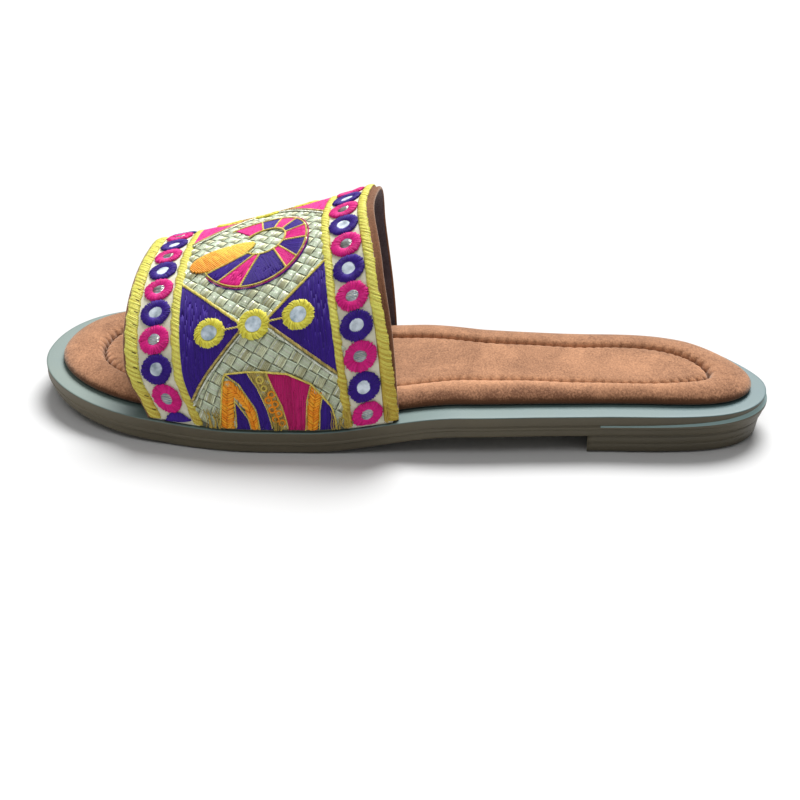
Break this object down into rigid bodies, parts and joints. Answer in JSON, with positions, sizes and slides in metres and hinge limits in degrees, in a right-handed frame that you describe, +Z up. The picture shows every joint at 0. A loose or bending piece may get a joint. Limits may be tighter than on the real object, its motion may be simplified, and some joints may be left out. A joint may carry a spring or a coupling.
{
  "type": "embroidered slide sandal",
  "caption": "Flat open-toe slide sandal, left shoe: moulded rubber sole with low heel, padded suede footbed and one wide mirror-work embroidered strap.",
  "frame": {"origin": "on the floor, under the middle of the shoe's box", "axes": "-X toward the toe, +X toward the heel, -Y toward the outer side of the left foot, +Z up"},
  "size_m": [0.255, 0.095, 0.0718],
  "materials": {
    "rubber_olive": "satin moulded rubber",
    "suede_brown": "napped suede",
    "cloth_metal_thread": "metal-thread basket weave on cream cloth",
    "thread_yellow": "satin stitch",
    "thread_purple": "satin stitch",
    "thread_pink": "satin stitch"
  },
  "bodies": {
    "root": {"outsole": "rubber_olive", "footbed": "suede_brown", "strap": "cloth_metal_thread", "band_front_outer": "thread_yellow", "band_front_inner": "thread_yellow", "band_back_inner": "thread_yellow", "band_back_outer": "thread_yellow", "mirror_front_01": "thread_pink", "mirror_front_02": "thread_purple", "mirror_front_03": "thread_pink", "mirror_front_04": "thread_purple", "mirror_front_05": "thread_pink", "mirror_front_06": "thread_purple", "mirror_front_07": "thread_pink", "mirror_front_08": "thread_purple", "mirror_front_09": "thread_pink", "mirror_front_10": "thread_purple", "mirror_front_11": "thread_pink", "mirror_front_12": "thread_purple", "mirror_front_13": "thread_pink", "mirror_back_01": "thread_pink", "mirror_back_02": "thread_purple", "mirror_back_03": "thread_pink", "mirror_back_04": "thread_purple", "mirror_back_05": "thread_pink", "mirror_back_06": "thread_purple", "mirror_back_07": "thread_pink", "mirror_back_08": "thread_purple", "mirror_back_09": "thread_pink", "mirror_back_10": "thread_purple", "mirror_back_11": "thread_pink", "mirror_back_12": "thread_purple", "mirror_back_13": "thread_pink", "mirror_back_14": "thread_purple", "mirror_back_15": "thread_pink", "mirror_back_16": "thread_purple", "mirror_back_17": "thread_pink", "mirror_bow_outer_01": "thread_yellow", "mirror_bow_outer_02": "thread_yellow", "mirror_bow_outer_03": "thread_yellow", "mirror_bow_inner_01": "thread_yellow", "mirror_bow_inner_02": "thread_yellow", "mirror_bow_inner_03": "thread_yellow"}
  },
  "joints": []
}
